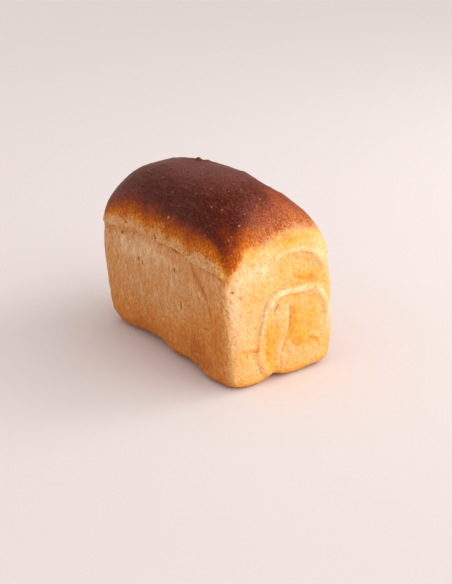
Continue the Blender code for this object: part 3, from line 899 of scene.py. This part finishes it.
class Finish:
    """Adds nodes to a material and joins them. Each input takes a number, a colour or a node's output."""

    def __init__(self, name):
        self.material = bpy.data.materials.new(name)
        self.material.use_nodes = True
        self.tree = self.material.node_tree
        self.shader = self.tree.nodes["Principled BSDF"]
        self.place = self.node("ShaderNodeTexCoord").outputs["Object"]

    def node(self, kind, **settings):
        made = self.tree.nodes.new(kind)
        for name, value in settings.items():
            setattr(made, name, value)
        return made

    def join(self, value, socket):
        if isinstance(value, bpy.types.NodeSocket):
            self.tree.links.new(value, socket)
        else:
            socket.default_value = value

    def attribute(self, name):
        return self.node("ShaderNodeAttribute", attribute_name=name).outputs["Fac"]

    def stretched(self, stretch, slant=0.0):
        """Places on the piece, in units of the given millimetres, which may lean along the loaf."""
        mapping = self.node("ShaderNodeMapping", vector_type="TEXTURE")
        self.join(self.place, mapping.inputs["Vector"])
        mapping.inputs["Rotation"].default_value = (0.0, slant, 0.0)
        mapping.inputs["Scale"].default_value = [size * MM for size in stretch]
        return mapping.outputs["Vector"]

    def pattern(self, name, slant=0.0):
        stretch, detail, roughness, distortion = PATTERNS[name]
        noise = self.node("ShaderNodeTexNoise")
        self.join(self.stretched(stretch, slant), noise.inputs["Vector"])
        noise.inputs["Scale"].default_value = 1.0
        noise.inputs["Detail"].default_value = detail
        noise.inputs["Roughness"].default_value = roughness
        noise.inputs["Distortion"].default_value = distortion
        return noise.outputs["Fac"]

    def cells(self, size):
        """Distance from the middle of the nearest of many scattered points, and that point's chance."""
        voronoi = self.node("ShaderNodeTexVoronoi")
        self.join(self.stretched((size, size, size)), voronoi.inputs["Vector"])
        voronoi.inputs["Scale"].default_value = 1.0
        return voronoi.outputs["Distance"], voronoi.outputs["Color"]

    def math(self, operation, first, second):
        made = self.node("ShaderNodeMath", operation=operation)
        self.join(first, made.inputs[0])
        self.join(second, made.inputs[1])
        return made.outputs[0]

    def add(self, first, second):
        return self.math("ADD", first, second)

    def times(self, first, second):
        return self.math("MULTIPLY", first, second)

    def span(self, value, name, kind="SMOOTHSTEP"):
        """What SPANS makes of a value."""
        made = self.node("ShaderNodeMapRange", interpolation_type=kind)
        self.join(value, made.inputs["Value"])
        for socket, limit in zip(("From Min", "From Max", "To Min", "To Max"), SPANS[name]):
            made.inputs[socket].default_value = limit
        return made.outputs["Result"]

    def mix(self, share, first, second, blend="MIX"):
        made = self.node("ShaderNodeMix", data_type="RGBA", blend_type=blend)
        self.join(share, made.inputs["Factor"])
        self.join(first, made.inputs[6])
        self.join(second, made.inputs[7])
        return made.outputs[2]

    def ramp(self, value, stops, settings):
        """Colours along a value: each stop is its place and the name of its colour."""
        made = self.node("ShaderNodeValToRGB")
        elements = made.color_ramp.elements
        while len(elements) < len(stops):
            elements.new(0.5)
        for element, (place, shade) in zip(elements, stops):
            element.position = place
            element.color = getattr(settings, shade)
        self.join(value, made.inputs["Fac"])
        return made.outputs["Color"]


def wall_colour(finish, settings, fibres, strands):
    """Pale walls, toasted in patches, in hollows and creases and towards the foot, where painted shade
    darkens them too. The ends take a lit copy of the colours and the sides a shaded copy.
    """
    flecks = finish.pattern("flecks")
    on_end = finish.attribute("end")
    speckled = finish.times(on_end, finish.span(flecks, "speckles"))
    streaks = finish.add(
        finish.span(fibres, "fine streaks"), finish.span(finish.pattern("broad"), "broad streaks"))
    streaked = finish.times(finish.math("SUBTRACT", 1.0, on_end), streaks)
    toast = finish.add(finish.attribute("toast"), finish.span(finish.pattern("patches"), "patches"))
    toast = finish.span(finish.add(toast, finish.add(speckled, streaked)), "toast", "LINEAR")
    # painted light and shade: the sides take a shaded copy of the colours and the ends a lit copy
    side = finish.ramp(toast, SHADED_SIDE_STOPS, settings)
    end = finish.ramp(toast, LIT_END_STOPS, settings)
    walls = finish.mix(on_end, side, end)
    # strokes: toast and painted shade in the hollows beside the folds
    strokes = finish.times(finish.attribute("stroke"), finish.span(flecks, "broken strokes"))
    walls = finish.mix(finish.math("MINIMUM", strokes, STROKE_LIMIT), walls, settings.amber)
    walls = finish.mix(finish.span(strokes, "dark strokes"), walls, settings.chestnut)
    lips = finish.times(finish.attribute("lip"), finish.span(flecks, "worn lips"))
    torn = finish.times(finish.attribute("torn"), finish.span(strands, "torn strands"))
    walls = finish.mix(finish.math("MAXIMUM", lips, torn), walls, settings.crumb)
    return finish.mix(finish.span(finish.pattern("dashes"), "dashes"), walls, settings.amber)


def crown_colour(finish, settings, bake):
    """Browning from the amber band to the dark shoulder and the redder top, with pale flecks and painted
    sheen.
    """
    top = finish.add(finish.attribute("top"), finish.span(finish.pattern("reddening"), "reddening"))
    # the redder top, towards the left partly a painted sheen
    dark = finish.mix(top, settings.mahogany, settings.russet)
    dark = finish.mix(finish.span(finish.pattern("blotches"), "blotches"), dark, settings.chestnut)
    browned = finish.ramp(bake, CROWN_STOPS, settings)
    browned = finish.mix(finish.span(bake, "dark crown"), browned, dark)
    # a painted sheen over the brown of the crown's lit end
    browned = finish.mix(finish.times(finish.attribute("dusty"), SHEEN_SHARE), browned, settings.dusty)
    distance, chance = finish.cells(SPECK_SPACING)
    specks = finish.math("LESS_THAN", distance, finish.span(chance, "speck size"))
    specks = finish.times(specks, finish.span(bake, "speck strength"))
    return finish.mix(finish.math("MAXIMUM", specks, finish.attribute("fleck")), browned, settings.crumb)


def crust_material(settings):
    finish = Finish("Baked Crust")
    fibres = finish.pattern("fibres")
    strands = finish.pattern("strands", SLANT)
    crowned = finish.span(finish.attribute("bake"), "drawn out")
    grain = finish.mix(crowned, finish.pattern("grain"), finish.pattern("drawn out"))
    bake = finish.add(finish.attribute("bake"), finish.span(finish.pattern("drift"), "bake drift"))
    bake = finish.add(bake, finish.span(strands, "bake strands"))
    bake = finish.add(bake, finish.span(grain, "bake grain"))
    walls = wall_colour(finish, settings, fibres, strands)
    crown = crown_colour(finish, settings, bake)
    crust = finish.mix(finish.span(bake, "crown"), walls, crown)
    crease = finish.attribute("crease")
    # painted shade in the creases, cracks and under the rim, with the colour a fold took
    crust = finish.mix(finish.span(crease, "folds"), crust, settings.amber)
    crust = finish.mix(finish.span(crease, "cracks"), crust, settings.chestnut)
    # painted shade and light of the fine pits, ridges and fibres, with their own tone, multiply the colour
    grain_shade = finish.times(finish.math("SUBTRACT", grain, 0.5), finish.span(bake, "grain depth"))
    fibre_depth = finish.times(
        finish.span(bake, "fibres on walls"), finish.span(finish.attribute("end"), "fibres on ends"))
    fibre_shade = finish.times(finish.math("SUBTRACT", fibres, 0.5), fibre_depth)
    shade = finish.span(finish.add(grain_shade, fibre_shade), "shade", "LINEAR")
    crust = finish.mix(1.0, crust, finish.mix(shade, DARKEST, LIGHTEST), "MULTIPLY")
    finish.join(crust, finish.shader.inputs["Base Color"])
    roughness = finish.add(finish.span(bake, "roughness"), finish.span(grain, "rough grain"))
    finish.join(roughness, finish.shader.inputs["Roughness"])
    finish.shader.inputs["Specular IOR Level"].default_value = GLOSS
    height = finish.add(finish.times(fibres, BUMP_FIBRES), finish.times(grain, BUMP_GRAIN))
    bump = finish.node("ShaderNodeBump")
    finish.join(height, bump.inputs["Height"])
    bump.inputs["Distance"].default_value = BUMP_DEPTH * MM
    bump.inputs["Strength"].default_value = BUMP_STRENGTH
    finish.join(bump.outputs["Normal"], finish.shader.inputs["Normal"])
    return finish.material


def floor_material(settings):
    finish = Finish("Matt Floor")
    finish.shader.inputs["Base Color"].default_value = settings.floor
    finish.shader.inputs["Roughness"].default_value = 1.0
    finish.shader.inputs["Specular IOR Level"].default_value = 0.0
    return finish.material


class LOAF_OT_bake_crust(bpy.types.Operator):
    """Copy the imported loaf, press its folds, fibres and blisters in, and colour its crust"""

    bl_idname = "loaf.bake_crust"
    bl_label = "Bake Crust"

    def execute(self, context):
        settings = context.scene.loaf_crust
        crust = copy_of_node(NODE, "crust")
        even_skin(crust, settings.cell, settings.evening)
        press_folds(crust, settings)
        press_dough(crust, settings)
        press_crown_bumps(crust)
        press_foot(crust)
        thin_out(crust, settings.triangles)
        level_foot(crust)
        crust.vertex_groups.clear()
        store_baking(crust)
        crust.data.materials.clear()
        crust.data.materials.append(crust_material(settings))
        pick(crust)
        bpy.ops.object.shade_smooth()
        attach(crust, "root")
        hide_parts(NODE)
        return {"FINISHED"}


def place_camera(settings):
    back = Vector((
        math.sin(settings.azimuth) * math.cos(settings.elevation),
        -math.cos(settings.azimuth) * math.cos(settings.elevation),
        math.sin(settings.elevation),
    ))
    turn = (-back).to_track_quat("-Z", "Y") @ Quaternion((0, 0, 1), settings.roll)
    bpy.ops.object.camera_add(
        location=Vector(settings.aim) + back * settings.distance, rotation=turn.to_euler())
    camera = bpy.context.object
    camera.name = "Camera"
    camera.data.lens = settings.lens
    camera.data.shift_x, camera.data.shift_y = settings.shift
    bpy.context.scene.camera = camera


def hang_lamp(name, kind, turn, rise, distance, strength, shade):
    """A lamp of a kind that shines at the loaf from a turn round it and a rise above the floor."""
    towards = Vector((math.cos(turn) * math.cos(rise), math.sin(turn) * math.cos(rise), math.sin(rise)))
    bpy.ops.object.light_add(
        type=kind, location=towards * distance, rotation=towards.to_track_quat("Z", "Y").to_euler())
    lamp = bpy.context.object
    lamp.name = name
    lamp.data.energy = strength
    lamp.data.color = shade[:3]
    return lamp


class LOAF_OT_set_studio(bpy.types.Operator):
    """Lay the pale floor, hang the lamps and set the camera at the photograph's viewpoint"""

    bl_idname = "loaf.set_studio"
    bl_label = "Set Studio"

    def execute(self, context):
        settings = context.scene.loaf_studio
        deselect_all()
        bpy.ops.mesh.primitive_plane_add(size=FLOOR_SIZE, location=(0, 0, 0))
        floor = context.object
        floor.name = "floor"
        floor.data.materials.append(floor_material(settings))
        world = bpy.data.worlds.new("Pale Room")
        world.use_nodes = True
        background = world.node_tree.nodes["Background"]
        background.inputs["Color"].default_value = settings.sky
        background.inputs["Strength"].default_value = settings.sky_strength
        context.scene.world = world
        window = hang_lamp(
            "Window", "SUN", settings.window_turn, settings.window_rise, settings.lamp_distance,
            settings.window_strength, settings.lamp)
        window.data.angle = settings.window_spread
        near_lamp = hang_lamp(
            "Near Lamp", "AREA", settings.near_turn, settings.near_rise, settings.lamp_distance,
            settings.near_power, settings.lamp)
        near_lamp.data.size = settings.near_size
        place_camera(settings)
        context.scene.view_settings.view_transform = "Standard"
        return {"FINISHED"}


class LOAF_PT_sidebar(bpy.types.Panel):
    """The loaf's settings and steps"""

    bl_idname = "LOAF_PT_sidebar"
    bl_label = "Sandwich Loaf"
    bl_space_type = "VIEW_3D"
    bl_region_type = "UI"
    bl_category = "Loaf"

    def draw(self, context):
        for title, group, operator in (
                ("Crust", context.scene.loaf_crust, LOAF_OT_bake_crust),
                ("Studio", context.scene.loaf_studio, LOAF_OT_set_studio)):
            box = self.layout.box()
            box.label(text=title)
            for name in group.__annotations__:
                box.prop(group, name)
            box.operator(operator.bl_idname)


CLASSES = (LoafCrustSettings, LoafStudioSettings, LOAF_OT_bake_crust, LOAF_OT_set_studio, LOAF_PT_sidebar)


def register():
    for kind in CLASSES:
        bpy.utils.register_class(kind)
    bpy.types.Scene.loaf_crust = PointerProperty(type=LoafCrustSettings)
    bpy.types.Scene.loaf_studio = PointerProperty(type=LoafStudioSettings)


def unregister():
    del bpy.types.Scene.loaf_studio
    del bpy.types.Scene.loaf_crust
    for kind in reversed(CLASSES):
        bpy.utils.unregister_class(kind)


def main():
    register()
    bpy.ops.loaf.bake_crust()
    bpy.ops.loaf.set_studio()


if __name__ == "__main__":
    main()
